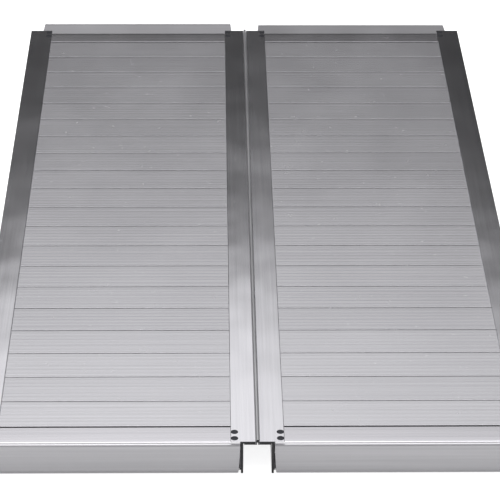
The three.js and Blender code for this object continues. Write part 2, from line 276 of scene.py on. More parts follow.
def carried(profile, axis, stations, insets=None):
    """The profile in millimetres at each station along axis 0 or 1, with both ends closed.

    Axis 1 carries an (X, Z) profile along Y, and axis 0 a (Y, Z) profile along X. An inset
    shrinks the profile along its own normals there, which rounds an end over. The profile may
    be written either way round: it is turned so that the faces point outwards."""
    loop = np.asarray(profile, float)
    ahead, back = np.roll(loop, -1, 0), np.roll(loop, 1, 0)
    area = np.sum(loop[:, 0] * ahead[:, 1] - ahead[:, 0] * loop[:, 1])
    if (area > 0) == (axis == 1):
        loop, ahead, back = loop[::-1], back[::-1], ahead[::-1]
    side = ahead - back
    inward = np.stack([-side[:, 1], side[:, 0]], -1) / np.linalg.norm(side, axis=1, keepdims=True)
    inward = inward * (1 if axis == 0 else -1)
    stations = np.asarray(stations, float)
    insets = np.zeros(len(stations)) if insets is None else np.asarray(insets, float)
    rings = loop[None] + insets[:, None, None] * inward[None]
    along = np.broadcast_to(stations[:, None, None], (*rings.shape[:2], 1))
    order = [rings[..., :1], along, rings[..., 1:]] if axis == 1 else [along, rings]
    points = np.concatenate(order, -1)
    rows, columns = points.shape[:2]
    closing = cap(loop)
    faces = grid_faces(rows, columns).tolist() + closing[:, ::-1].tolist()
    faces += (closing + (rows - 1) * columns).tolist()
    return points.reshape(-1, 3), faces


def several(parts):
    """Several (points, faces) solids as one, with the corner numbers moved along."""
    points, faces, count = [], [], 0
    for some, joined in parts:
        points.append(some)
        faces += [[i + count for i in face] for face in joined]
        count += len(some)
    return np.concatenate(points), faces


# %% [markdown]
# ## Bare aluminium
#
# Mill-finish aluminium carries the marks of its die: hair-fine lines all along the extrusion,
# stronger and weaker by turns. They tilt the surface a very little, and vary how sharply it
# mirrors. Both come from one noise that is stretched until its blobs are lines. A second, slow
# noise stands for handling: cloudy places where the metal is duller. A third, cut off high,
# leaves only a few short scuffs. One recipe serves for rails, planks and flaps, which differ in
# how rough they are, how strong the lines are and which way they run.


# %% The aluminium recipe
class Recipe:
    """A material's node tree with short words for adding and joining nodes."""

    def __init__(self, name):
        self.material = bpy.data.materials.new(name)
        self.material.use_nodes = True
        self.tree = self.material.node_tree
        self.shader = self.tree.nodes["Principled BSDF"]

    def add(self, kind, settings=None, **inputs):
        node = self.tree.nodes.new(kind)
        for key, value in (settings or {}).items():
            setattr(node, key, value)
        for key, value in inputs.items():
            self.feed(node.inputs[key.replace("_", " ")], value)
        return node

    def feed(self, socket, value):
        if isinstance(value, bpy.types.NodeSocket):
            self.tree.links.new(value, socket)
        else:
            socket.default_value = value

    def noise(self, scale_xyz, detail=3.0, rough=0.55):
        """Noise on the piece's own metres, stretched by the three scales."""
        place = self.add("ShaderNodeTexCoord").outputs["Object"]
        stretched = self.add("ShaderNodeMapping", Vector=place, Scale=scale_xyz)
        at = stretched.outputs["Vector"]
        made = self.add("ShaderNodeTexNoise", Vector=at, Scale=1.0, Detail=detail)
        made.inputs["Roughness"].default_value = rough
        return made.outputs["Fac"]

    def between(self, value, low, high, to_low, to_high):
        """value mapped from low..high to to_low..to_high, and held there."""
        made = self.add("ShaderNodeMapRange", Value=value)
        made.inputs["From Min"].default_value = low
        made.inputs["From Max"].default_value = high
        made.inputs["To Min"].default_value = to_low
        made.inputs["To Max"].default_value = to_high
        return made.outputs["Result"]

    def sum(self, a, b, operation="ADD"):
        made = self.add("ShaderNodeMath", {"operation": operation})
        self.feed(made.inputs[0], a)
        self.feed(made.inputs[1], b)
        return made.outputs["Value"]

    def tint(self, value, dark, light):
        """A colour between dark and light, by value from 0 to 1."""
        made = self.add("ShaderNodeMix", {"data_type": "RGBA"}, Factor=value)
        made.inputs["A"].default_value = (*dark, 1)
        made.inputs["B"].default_value = (*light, 1)
        return made.outputs["Result"]

    def bump(self, height, depth, under=None):
        made = self.add("ShaderNodeBump", Height=height, Distance=depth, Strength=1.0)
        if under:
            self.feed(made.inputs["Normal"], under)
        self.feed(self.shader.inputs["Normal"], made.outputs["Normal"])


def aluminium(name, dark, light, rough, spread, line_scale, line_depth, extra=None, wave=0.0):
    """Die lines, cloudy handling marks and scuffs on bare metal.

    dark and light are the ends of its colour. rough is how dull it is, and spread how much that
    varies. line_depth and wave, a slow waviness, are in metres. extra adds a shade of its own."""
    r = Recipe(name)
    lines = r.noise(line_scale, detail=4.0)
    clouds = r.noise((7, 7, 7), detail=4.0)
    scuffs = r.between(r.noise((60, 60, 60), detail=6.0, rough=0.7), 0.66, 0.74, 0.0, 1.0)
    shade = r.between(r.sum(lines, r.sum(clouds, 0.5, "MULTIPLY")), 0.5, 1.0, 0.0, 1.0)
    if extra:
        shade = r.sum(r.sum(shade, 0.6, "MULTIPLY"), r.sum(extra(r), 0.4, "MULTIPLY"))
    r.feed(r.shader.inputs["Base Color"], r.tint(shade, dark, light))
    cloudy = r.between(clouds, 0.35, 0.7, rough - spread, rough + spread)
    r.feed(r.shader.inputs["Roughness"], r.sum(cloudy, r.sum(scuffs, 0.12, "MULTIPLY")))
    r.shader.inputs["Metallic"].default_value = 1.0
    if wave:
        slow = r.noise((9, 5, 9), detail=1.5)
        swell = r.add("ShaderNodeBump", Height=slow, Distance=wave, Strength=1.0)
        r.bump(lines, line_depth, under=swell.outputs["Normal"])
    else:
        r.bump(lines, line_depth)
    return r.material


# %% [markdown]
# The planks come from different places along the extruded bar, so neighbours differ a little in
# tone. The plank a point belongs to is its distance along the ramp divided by the plank pitch,
# rounded down, and a white noise turns that whole number into a steady random shade.

# %% Finishes for rails, planks, flaps and hinge
PLANKS = 20
PITCH = 57.2
FIRST_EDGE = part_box("plank_left_01")[0].y / MM - 1.0  # middle of the joint before the first plank
LINES_ALONG_Y, LINES_ALONG_X = (260, 3, 260), (3, 260, 260)
LINE_DEPTH, WAVE = 0.00003, 0.0012


def plank_shade(r):
    """One random shade for each plank, from its number along Y."""
    place = r.add("ShaderNodeTexCoord").outputs["Object"]
    y = r.add("ShaderNodeSeparateXYZ", Vector=place).outputs["Y"]
    from_edge = r.sum(y, FIRST_EDGE * MM, "SUBTRACT")
    number = r.sum(r.sum(from_edge, PITCH * MM, "DIVIDE"), 0.0, "FLOOR")
    pick = r.add("ShaderNodeTexWhiteNoise", {"noise_dimensions": "1D"})
    r.feed(pick.inputs["W"], number)
    return pick.outputs["Value"]


rail_finish = aluminium(
    "rail_aluminium", (0.79, 0.785, 0.81), (0.89, 0.885, 0.91), 0.1, 0.02,
    LINES_ALONG_Y, LINE_DEPTH, wave=WAVE,
)
worn_rail_finish = aluminium(
    "worn_rail_aluminium", (0.76, 0.755, 0.78), (0.87, 0.865, 0.89), 0.135, 0.015,
    LINES_ALONG_Y, LINE_DEPTH, wave=WAVE,
)
beam_finish = aluminium(
    "beam_aluminium", (0.74, 0.73, 0.76), (0.84, 0.83, 0.855), 0.19, 0.02,
    LINES_ALONG_X, LINE_DEPTH,
)
plank_finish = aluminium(
    "plank_aluminium", (0.765, 0.76, 0.785), (0.875, 0.87, 0.895), 0.26, 0.013,
    (2.2, 260, 30), 0.00005, plank_shade,
)


def painted_shade_towards_floor(r):
    """0 at the floor and 1 at the deck: painted shade, so the hanging flaps darken towards their
    tips.
    """
    place = r.add("ShaderNodeTexCoord").outputs["Object"]
    z = r.add("ShaderNodeSeparateXYZ", Vector=place).outputs["Z"]
    return r.between(z, 0.004, 0.05, 0.0, 1.0)


# Painted shade: the hanging flaps are coloured darker towards the floor.
flap_finish = aluminium(
    "flap_aluminium", (0.39, 0.387, 0.4), (0.505, 0.5, 0.515), 0.42, 0.05,
    (3, 320, 320), 0.00004, painted_shade_towards_floor,
)
hinge_finish = aluminium(
    "hinge_aluminium", (0.74, 0.74, 0.755), (0.84, 0.84, 0.855), 0.32, 0.03,
    LINES_ALONG_Y, LINE_DEPTH,
)


SHADED, OUT_OF_SHADE = 0.0215, 0.0225  # metres from the middle: painted near-black shade up to one, the metal's own colour past the other


def sawn_ends_painted_shade():
    """Ends left rough by the saw. In the gap between the panels they are painted near-black for the
    shade there, and keep the metal's colour outside it.
    """
    r = Recipe("sawn_ends_painted_shade")
    place = r.add("ShaderNodeTexCoord").outputs["Object"]
    x = r.add("ShaderNodeSeparateXYZ", Vector=place).outputs["X"]
    out_of_shade = r.between(r.sum(x, 0.0, "ABSOLUTE"), SHADED, OUT_OF_SHADE, 0.0, 1.0)
    grain = r.noise((700, 700, 700), detail=2.0)
    # Painted shade: near-black where the ends stand in the gap between the panels.
    r.feed(r.shader.inputs["Base Color"], r.tint(out_of_shade, (0.02, 0.02, 0.022), (0.8, 0.795, 0.81)))
    r.feed(r.shader.inputs["Roughness"], r.between(grain, 0.3, 0.7, 0.42, 0.55))
    r.feed(r.shader.inputs["Metallic"], r.between(out_of_shade, 0.0, 1.0, 0.3, 1.0))
    r.bump(grain, 0.00003)
    return r.material


cut_end_shade_finish = sawn_ends_painted_shade()
print("metal finishes made:", len(bpy.data.materials))

# %% [markdown]
# ## Rails
#
# A side rail is a bar with a broad T-shaped head, a thin web, a ledge that the plank ends rest on
# and a foot. It could be modelled by bevelling a box and extruding it in edit mode, but the
# profile is known, so it is simplest to write its corners down in order with a radius for each.
# Outside corners get about 0.6 mm. Inside corners are rounder, as dies leave them. The sawn ends
# take a rougher finish of their own, because they are never polished, and in the gap between the
# panels they are painted near-black for the shade there.
#
# The head runs the whole length of the rail. The ledge and the foot stop short of the sockets in
# the end beams, and only the inner rails' webs run on past them.

# %% Sizes read from the frame
SIDES = {"left": -1, "right": 1}
CLEARANCE = 0.3  # between a plank and the ledge under it or the flange over it
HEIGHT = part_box("rail_outer_left")[1].z / MM
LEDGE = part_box("plank_left_01")[0].z / MM - CLEARANCE  # top face of the ledge
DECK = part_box("plank_left_01")[1].z / MM
FLANGE_UNDER = DECK + CLEARANCE
THICK = 2.5  # of ledges, feet and strips
BEAD = 4.0  # radius of a flap's bead
SOCKET = 4.3  # inner radius of the socket round it
WALL = 1.6  # of the socket
LIP = 1.5  # how far the socket's upper lip reaches past the bead's axis
BEAD_Z = DECK - WALL - SOCKET


def end_of(place):
    """+1 for the upper end of the ramp and -1 for the lower end."""
    return 1 if place == "upper" else -1


def bead_axis(place, side):
    """Y of the flap's axis, found from the tip of the socket's lip."""
    low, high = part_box(f"end_beam_{place}_{side}")
    end = end_of(place)
    return end * (max(end * low.y, end * high.y) / MM - LIP)


print("rails", round(HEIGHT, 1), "mm high, deck at", round(DECK, 1), "mm")


# %% [markdown]
# The rail is drawn as three shapes that overlap: the head, the web, and the arms, which are the
# ledge and the foot together. Each can then have its own length. Distances across a rail are
# measured from its free edge, the one away from the planks, so one drawing serves all four.

# %% Rail profiles
WEB = 3.0  # thickness
HAIR = 0.1  # the web is thinner by this than the arms' corner, so that no two faces coincide


def outline(corners, steps=4):
    """A rounded profile from (across, height, radius) of each corner."""
    table = np.array(corners, float)
    return rounded(table[:, :2], table[:, 2], steps)


def rail_head(width):
    """The flat head. Distances across a rail are from its free edge."""
    return outline([
        (0, FLANGE_UNDER, 0.6), (width, FLANGE_UNDER, 0.3), (width, HEIGHT, 0.8), (0, HEIGHT, 0.6),
    ])


def rail_web(web):
    """The upright web, from just over the foot to just inside the head."""
    low, high, back = 3.2, FLANGE_UNDER + 1, web + (WEB - HAIR)
    return outline([(web, low, 0.4), (back, low, 0.1), (back, high, 0.1), (web, high, 0.1)])


def rail_arms(width, web, foot):
    """Ledge and foot, joined behind the web; the foot may reach out past the web."""
    inside, under = web + 0.5, LEDGE - THICK
    start = inside if foot == web else foot
    corners = [
        (start, 0, 0.1), (width, 0, 0.6), (width, THICK, 0.6), (web + WEB, THICK, 1.2),
        (web + WEB, under, 1.2), (width, under, 0.6), (width, LEDGE, 0.5), (inside, LEDGE, 0.1),
    ]
    if foot < web:
        corners += [(inside, THICK, 0.1), (foot, THICK, 0.6)]
    return outline(corners)


# %% [markdown]
# Outer and inner rails differ in where the web stands and how far the foot reaches. The right
# inner rail has had more wear than the others, so its finish is a little duller.

# %% The four rails
OUTER_WEB, OUTER_FOOT = 20, 12  # how far in from the free edge the web and the foot begin
INNER_WEB = INNER_FOOT = 15.5
PAST_SOCKET = 0.4  # left between a rail's arms and the outside of the socket


def make_rail(name, side, edge, facing, web, foot, web_past):
    """Head, web and arms as one piece. facing is 1 where the rail lies to +X of its free edge."""
    low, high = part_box(name)
    width = (high.x - low.x) / MM
    full = np.array([low.y, high.y]) / MM
    clear = SOCKET + WALL + PAST_SOCKET
    short = np.array([bead_axis("lower", side) + clear, bead_axis("upper", side) - clear])
    parts = [
        (rail_head(width), full),
        (rail_web(web), (full if web_past else short) + [HAIR, -HAIR]),
        (rail_arms(width, web, foot), short),
    ]
    points, faces = several([
        carried(profile * [facing, 1] + [edge, 0], 1, run) for profile, run in parts
    ])
    metal = worn_rail_finish if name == "rail_inner_right" else rail_finish
    make_piece(
        f"{name}_bar", points * MM, faces, f"{side}_panel", metal, [name],
        ends=cut_end_shade_finish,
    )


for side, sign in SIDES.items():
    outer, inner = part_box(f"rail_outer_{side}"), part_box(f"rail_inner_{side}")
    outer_edge = sign * max(abs(outer[0].x), abs(outer[1].x)) / MM
    inner_edge = sign * min(abs(inner[0].x), abs(inner[1].x)) / MM
    make_rail(f"rail_outer_{side}", side, outer_edge, -sign, OUTER_WEB, OUTER_FOOT, False)
    make_rail(f"rail_inner_{side}", side, inner_edge, sign, INNER_WEB, INNER_FOOT, True)
print("rails: four, free edges at", round(inner_edge, 1), "and", round(outer_edge, 1), "mm")

# %% [markdown]
# ## Deck planks
#
# Each plank is an open-bottomed extrusion with three legs. Its top is not flat: fine ribs run
# across the ramp for grip, the long edges are just broken, and the last few millimetres towards
# +Y fall away by a hair. From the lower end that strip mirrors the dim wall instead of the
# ceiling, so each joint shows as a soft dark line, wider than the gap itself.
#
# The ribbed top is a height function: the deck's height minus a depth times a raised cosine that
# repeats once a rib, so that it fades to nothing at the edges.

# %% Plank profile with its ribs
RIBS = 7
RIB_DEPTH = 0.013
EDGE = 0.1  # radius of the rounded long edges
DROOP, DROOP_WIDTH = 0.05, 4.0  # how far, and over what width, the edge towards +Y falls away
HALF_PLANK = (PITCH - 0.8) / 2  # neighbours almost touch
LEG, SKIN, TOE = 20.0, 1.6, 6.0  # how deep the legs are, how thick, and how far their feet turn in
TOP_SKIN = 2.6


def plank_top(samples=113):
    """Height of the top face across the plank, from +Y to -Y, as rounded ribs between edges."""
    y = np.linspace(HALF_PLANK, -HALF_PLANK, samples)
    flat = HALF_PLANK - EDGE
    over = np.clip(np.abs(y) - flat, 0, EDGE)
    edge = EDGE - np.sqrt(np.maximum(EDGE**2 - over**2, 0))
    phase = np.clip((y + flat) / (2 * flat), 0, 1) * RIBS
    valley = RIB_DEPTH * (1 - np.cos(2 * np.pi * phase)) / 2
    droop = DROOP * np.clip((y - flat + DROOP_WIDTH) / DROOP_WIDTH, 0, 1) ** 2
    return np.stack([y, -edge * 0.75 - valley - droop], -1)


def plank_profile():
    """The ribbed top, then down, along and up each of the three legs."""
    h, foot, mid = HALF_PLANK, -LEG + SKIN, SKIN / 2
    under = [
        (-h, -LEG, 0.5), (-h + TOE, -LEG, 0.5), (-h + TOE, foot, 0.4), (-h + SKIN, foot, 0.8),
        (-h + SKIN, -TOP_SKIN, 1.0), (-mid, -TOP_SKIN, 1.0), (-mid, -LEG, 0.3),
        (mid, -LEG, 0.3), (mid, -TOP_SKIN, 1.0), (h - SKIN, -TOP_SKIN, 1.0),
        (h - SKIN, foot, 0.8), (h - TOE, foot, 0.4), (h - TOE, -LEG, 0.5), (h, -LEG, 0.5),
    ]
    return np.concatenate([plank_top(), outline(under, steps=2)])


# %% [markdown]
# The profile is worked out once. Only its place and its two ends differ from plank to plank, and
# they come from the solid that each plank stands for.

# %% All the planks
plank_shape = plank_profile()
for side in SIDES:
    for number in range(1, PLANKS + 1):
        name = f"plank_{side}_{number:02d}"
        low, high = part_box(name)
        middle = (low.y + high.y) / 2 / MM
        points, faces = carried(plank_shape + [middle, DECK], 0, [low.x / MM, high.x / MM])
        make_piece(
            f"{name}_ribbed", points * MM, faces, f"{side}_panel", plank_finish,
            [name], 40,
        )
print("planks", 2 * PLANKS, "with", len(plank_shape), "points round each")

# %% [markdown]
# ## End beams
#
# The beam that closes each end of a panel is a flat strip, level with the planks, whose outer
# edge curls into a socket. The flap's round bead slides into the socket from the side, and since
# the socket wraps more than half of it, the bead can turn but not come out. An arc is the natural
# way to write it: the outside of the curl one way round, and the inside back again.

# %% End beam profiles
BEAM_SETBACK = 31.8  # bead's axis to the strip's inner edge
BEAM_TOE = 14.0  # how far the beam's foot reaches out under the strip


def arc(radius, start, stop, steps):
    """Points at one distance from the bead's axis, at even angles in degrees."""
    t = np.radians(np.linspace(start, stop, steps + 1))
    return radius * np.stack([np.cos(t), np.sin(t)], -1)


def strip_profile(inner, foot):
    """(distance out from the bead's axis, height over it): foot, leg, strip."""
    top, back = DECK - BEAD_Z, -SOCKET - WALL
    under, toe, heel = top - THICK, inner + BEAM_TOE, inner + THICK
    leg = [[inner, foot], [toe, foot], [toe, foot + THICK], [heel, foot + THICK], [heel, under]]
    strip = [[back, under], [back, top]]
    edge = [[inner + 0.8, top], [inner + 0.2, top - 0.25], [inner, top - 0.9]]
    return np.array(leg + strip + edge, float)


def socket_profile():
    """Down the back, round under the bead, back along the inside of the curl, and up the lip."""
    top = DECK - BEAD_Z
    curl = np.concatenate([arc(SOCKET + WALL, 180, 278, 18), arc(SOCKET, 278, 90, 24)])
    lip = [[LIP, SOCKET], [LIP, top - 0.9], [LIP - 0.25, top - 0.25], [0.6, top]]
    return np.concatenate([curl, lip, [[-SOCKET - WALL, top]]])


# %% [markdown]
# The strip is as wide as a plank, and the socket is as wide as its flap. So the two are carried
# separately, each over its own length, and then counted as one piece.

# %% The four end beams
for side in SIDES:
    plank_low, plank_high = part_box(f"plank_{side}_01")
    for place in ("lower", "upper"):
        name = f"end_beam_{place}_{side}"
        low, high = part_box(name)
        turn, move = [end_of(place), 1], [bead_axis(place, side), BEAD_Z]
        strip = strip_profile(-BEAM_SETBACK, LEDGE + CLEARANCE - BEAD_Z) * turn + move
        socket = socket_profile() * turn + move
        points, faces = several([
            carried(strip, 0, [plank_low.x / MM, plank_high.x / MM]),
            carried(socket, 0, [low.x / MM, high.x / MM]),
        ])
        make_piece(
            f"{name}_strip", points * MM, faces, f"{side}_panel", beam_finish, [name], 35
        )
print("end beams: bead axis at", round(BEAD_Z, 1), "mm")

# %% [markdown]
# ## Flaps
#
# A flap is a plate that runs off the top of its round bead to a thinned nose. Seen from above it
# narrows towards the tip and its corners are rounded. That makes it a surface of two parameters:
# one goes round the section, the other across the flap from one side to the other, and the
# half-width is itself a function of how far out the point is.

# %% Flap surface
REACH = 41.0  # from the bead's axis to the tip
PLATE = 3.0  # thickness
STRAIGHT = 4.7  # the taper starts this far out
TAPER = 2.0  # taken off each side by the tip
CORNER = 2.5  # radius
SWELL = 0.11  # added over the bead, and gone this far out:
SWELL_END = 12.0
NOSE, THINNED = 1.4, 0.9  # how long the rounded tip is, and how much thinner the plate gets there


def half_width(out, root):
    """Parallel sides at first, then a straight taper, then a round corner."""
    taper = root - TAPER * np.clip((out - STRAIGHT) / (REACH - STRAIGHT), 0, 1)
    into = np.clip(out - (REACH - CORNER), 0, CORNER)
    round_off = CORNER - np.sqrt(np.maximum(CORNER**2 - into**2, 0))
    return taper - round_off


def flap_section():
    """Upper and lower edges of the section at the same distances out, from the nose back.

    The top swells a little near the bead, which nearly fills its socket."""
    nose = REACH - NOSE * (1 - np.cos(np.linspace(0, np.pi / 2, 7)))
    slope = np.linspace(REACH - 1.8, REACH - 5.4, 7)
    plate = np.concatenate([nose, slope, [25, SWELL_END, STRAIGHT]])
    full = np.sqrt(np.clip(1 - ((plate - (REACH - NOSE)) / NOSE).clip(0, 1) ** 2, 0, 1))
    half = (PLATE - THINNED) / 2
    thin = np.clip((plate - (REACH - 5)) / 3.6, 0, 1)
    swell = SWELL * np.clip((SWELL_END - plate) / (SWELL_END - STRAIGHT), 0, 1)
    high = BEAD + swell - THINNED * thin - half * (1 - full)
    low = BEAD - PLATE + half * (1 - full)
    turn = np.radians(np.linspace(14.48, 180, 22))
    out = np.append(plate, BEAD * np.cos(turn))
    bead_high = (BEAD + SWELL) * np.where(np.cos(turn) > 0, 1.0, np.sin(turn))
    upper = np.stack([out, np.append(high, bead_high)], -1)
    lower = np.stack([out, np.append(low, -BEAD * np.sin(turn))], -1)
    lower[len(plate), 1] = BEAD - PLATE
    return upper, lower


def flap_solid(root, columns=25):
    """Across the flap u runs from -1 to 1, and X is u times the half-width at that distance."""
    upper, lower = flap_section()
    loop = np.concatenate([upper[:-1], lower[::-1]])
    u = np.linspace(-1, 1, columns)[:, None]
    width = half_width(loop[:, 0], root)[None]
    x = u * width
    out, height = (np.broadcast_to(loop[:, i], x.shape) for i in (0, 1))
    points = np.stack([x, out, height], -1)
    rows, n = x.shape
    faces = grid_faces(rows, n).tolist()
    k = len(upper) - 1
    i = np.arange(k - 1)
    cheek = np.stack([i, n - 1 - i, n - 2 - i, i + 1], -1)
    last = (rows - 1) * n
    faces += cheek.tolist() + [[k - 1, n - k, k]]
    faces += (cheek[:, ::-1] + last).tolist() + [[k + last, n - k + last, k - 1 + last]]
    return points.reshape(-1, 3), faces


# %% [markdown]
# A flap is drawn level, with its bead's axis at the origin. To put it in place it is turned about
# that axis, faced up or down the ramp, and moved to its socket. The upper two are laid out a few
# degrees above level, and not quite alike.

# %% Hang each flap at its resting angle
# Degrees down from level: the lower flaps hang, and the upper ones are laid out.
FLAP_ANGLE = {"lower_left": 90, "lower_right": 90, "upper_left": -4, "upper_right": -1}


def placed_flap(points, down, end, centre_x, axis_y):
    """Turned down about the bead's axis, faced outwards, and moved to the bead's place."""
    a = np.radians(down)
    y = points[:, 1] * np.cos(a) + points[:, 2] * np.sin(a)
    z = points[:, 2] * np.cos(a) - points[:, 1] * np.sin(a)
    return np.stack([end * points[:, 0] + centre_x, end * y + axis_y, z + BEAD_Z], -1)


for side in SIDES:
    for place in ("lower", "upper"):
        name = f"flap_{place}_{side}"
        low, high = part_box(name)
        points, faces = flap_solid((high.x - low.x) / 2 / MM)
        middle, axis = (low.x + high.x) / 2 / MM, bead_axis(place, side)
        points = placed_flap(points, FLAP_ANGLE[f"{place}_{side}"], end_of(place), middle, axis)
        make_piece(
            f"{name}_plate", points * MM, faces, f"{place}_flap_{side}", flap_finish,
            [name], 35,
        )
print("flaps: four, reach", REACH, "mm")

# %% [markdown]
# ## Hinge
#
# The centre hinge's two leaves have their knuckles already cut in the solids, interleaved round
# one long pin. Those shapes are right as they are, so they keep their geometry and only take a
# finish. The pin is plain drawn steel.

# %% Hinge finishes
pin_finish = aluminium(
    "pin_steel", (0.4, 0.4, 0.41), (0.55, 0.55, 0.56), 0.3, 0.05, (3, 3, 3), 0.00002
)
LEAF_END = 0.58  # metres from the middle; beyond it, a face across the leaf is a sawn end, painted near-black for the shade in the gap
hinge_parts = {
    "hinge_leaf_left": hinge_finish,
    "hinge_leaf_right": hinge_finish,
    "hinge_pin": pin_finish,
}
for name, finish in hinge_parts.items():
    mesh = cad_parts[name].data
    mesh.materials.clear()
    mesh.materials.append(finish)
    mesh.materials.append(cut_end_shade_finish)
    for face in mesh.polygons:
        face.material_index = int(abs(face.normal.y) > 0.99 and abs(face.center.y) > LEAF_END)
print("hinge: finishes on", len(hinge_parts), "parts")

# %% [markdown]
# ## Rivets
#
# A rivet head is a turned shape: a small outline swung once round its axis. Working out all the
# heads of one rail at once only needs one more array dimension, for the centres. The visible
# ones hold the end beams, two at each corner of a panel, and are dark steel, set almost flush so
# that the folded panels can close face to face. The outer one of each pair is over the flap's
# socket, so it is short, and only the inner one has a tail. Smaller ones under the ledges hold
# each plank.


# %% Dark steel and turned heads
def dark_steel():
    """Blackened steel with small bright rubs."""
    r = Recipe("blackened_steel")
    rubs = r.between(r.noise((900, 900, 900), detail=3.0), 0.55, 0.75, 0.0, 1.0)
    r.feed(r.shader.inputs["Base Color"], r.tint(rubs, (0.035, 0.036, 0.042), (0.13, 0.13, 0.14)))
    r.feed(r.shader.inputs["Roughness"], r.between(rubs, 0, 1, 0.5, 0.36))
    r.shader.inputs["Metallic"].default_value = 0.8
    r.bump(rubs, 0.00003)
    return r.material


def turned(outline, centres, flip=False, around=20):
    """Each (radius, height) of the outline swung round a vertical axis at every centre."""
    shape = np.asarray(outline, float)
    t = np.linspace(0, 2 * np.pi, around, endpoint=False)
    up = -1.0 if flip else 1.0
    ring = np.stack([np.cos(t) * up, np.sin(t)], -1)
    xy = shape[:, None, :1] * ring[None]
    z = np.broadcast_to(up * shape[:, None, 1:], (*xy.shape[:2], 1))
    one = np.concatenate([xy, z], -1).reshape(-1, 3)
    centres = np.asarray(centres, float)
    points = (centres[:, None, :] + one[None]).reshape(-1, 3)
    quads = grid_faces(len(shape), around)
    caps = np.stack([np.arange(around)[::-1], np.arange(around) + (len(shape) - 1) * around])
    offset = np.arange(len(centres))[:, None, None] * len(one)
    faces = (quads[None] + offset).reshape(-1, 4).tolist()
    faces += (caps[None] + offset).reshape(-1, around).tolist()
    return points, faces


def flange_line(rail, side, sign, inset):
    """X of a line along a rail, that far in from the edge of its flange over the deck."""
    low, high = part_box(f"rail_{rail}_{side}")
    inwards = -sign if rail == "outer" else sign
    deck_edge = (low.x if inwards * low.x > inwards * high.x else high.x) / MM
    return deck_edge - inwards * inset


# %% [markdown]
# The head is low and wide, with a faint dip in the middle. Its outline starts down the shank, so
# that the shank is part of the same turned shape.

# %% Corner rivets
# (radius, height) from the shank, out over the head or tail, to its middle
HEAD = [
    (2.0, -4.0), (2.0, -0.1), (4.6, -0.1), (4.75, 0.04), (4.4, 0.16),
    (3.2, 0.27), (1.7, 0.3), (0.8, 0.24), (0.2, 0.22),
]
TAIL = [(0.8, -0.5), (3.1, -0.5), (3.2, 0.2), (2.6, 0.9), (1.6, 1.3), (0.5, 1.4)]
RIVET_INSET = 4.9  # from the flange's edge
RIVET_ENDS = (7.5, 21.5)  # from the end of the rail
rivet_finish = dark_steel()


def corner_rivets(side, sign):
    """Centres of the eight visible heads on one panel's flanges."""
    spots = []
    for rail in ("outer", "inner"):
        low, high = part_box(f"rail_{rail}_{side}")
        x = flange_line(rail, side, sign, RIVET_INSET)
        for end, y0 in ((-1, low.y / MM), (1, high.y / MM)):
            spots += [(x, y0 - end * inset, HEIGHT) for inset in RIVET_ENDS]
    return np.array(spots)


for side, sign in SIDES.items():
    spots = corner_rivets(side, sign)
    points, faces = turned(HEAD, spots)
    make_piece(f"rivets_{side}", points * MM, faces, f"{side}_panel", rivet_finish)
    tails = spots[1::2] - [0, 0, HEIGHT - DECK + THICK]
    points, faces = turned(TAIL, tails, flip=True, around=14)
    make_piece(f"rivet_tails_{side}", points * MM, faces, f"{side}_panel", rivet_finish)
print("corner rivets:", len(spots), "on each panel")

# %% [markdown]
# Four small bright rivets hold each plank. They come up through the ledges into its feet.

# %% Plank rivets under the ledges
SMALL_HEAD = [(0.6, -0.2), (2.6, -0.2), (2.7, 0.3), (2.1, 0.9), (1.1, 1.2), (0.3, 1.25)]
FOOT_MIDDLE = 4.0  # from the plank's edge to the middle of its foot
SMALL_INSET = 4.2  # from the flange's edge
feet = np.array([FOOT_MIDDLE, PITCH - FOOT_MIDDLE])[None]
y = (FIRST_EDGE + PITCH * np.arange(PLANKS)[:, None] + feet).reshape(-1)
for side, sign in SIDES.items():
    rows = []
    for rail in ("outer", "inner"):
        x = flange_line(rail, side, sign, SMALL_INSET)
        rows.append(np.stack([np.full(len(y), x), y, np.full(len(y), LEDGE - THICK)], -1))
    points, faces = turned(SMALL_HEAD, np.concatenate(rows), flip=True, around=12)
    make_piece(f"plank_rivets_{side}", points * MM, faces, f"{side}_panel", hinge_finish)
print("plank rivets:", 4 * y.size)

# %% [markdown]
# ## Drop handles
#
# Under the overhanging flange of each outer rail hangs a moulded handle on a small riveted base.
# The handle is a bar bent into a U: a section carried along a curved path. At each step along
# the path the section is an ellipse in the plane across it, and its size is a function of how
# far along it is, so the arms are slim and the grip is full with shallow finger waves.


# %% Black plastic and black paint
def black(name, rough, grain, depth, coat=0.0):
    """Near-black with a fine grain that varies its sheen, and paler rubbed places."""
    r = Recipe(name)
    fine = r.noise((grain, grain, grain), detail=2.0)
    rubbed = r.between(r.noise((45, 45, 45), detail=5.0), 0.55, 0.75, 0.0, 1.0)
    dark, pale = (0.012, 0.012, 0.014), (0.03, 0.03, 0.033)
    r.feed(r.shader.inputs["Base Color"], r.tint(rubbed, dark, pale))
    grainy = r.between(fine, 0.3, 0.7, rough - 0.06, rough + 0.08)
    r.feed(r.shader.inputs["Roughness"], r.sum(grainy, r.sum(rubbed, 0.08, "MULTIPLY")))
    r.shader.inputs["Coat Weight"].default_value = coat
    r.bump(fine, depth)
    return r.material


grip_finish = black("black_moulded_grip", 0.5, 1400, 0.00012)
paint_finish = black("black_powder_coat", 0.4, 900, 0.00008, 0.15)

# %% [markdown]
# The path comes first: a U with two round bends, cut into even steps, so that the rings of the
# grid are evenly spaced along it. The pins it swings on are two short rods with bevelled ends.

# %% The U-shaped bail
HANDLE_HALF = 56.0  # from the middle of the grip to an arm
HANDLE_LOW = -33.5  # the grip's height, from the axis it swings on
ARM_TOP = 4.0
BEND = 15  # radius of the two corners
GRIP_WAVE, WAVES = 0.45, 8.5  # height and number of the finger waves
END_DOME = 3.8  # length over which an arm's end is rounded
PATH_LENGTH = 186.0  # roughly, from end to end along the bar
LUG = 63.0  # from the middle to a lug of the base


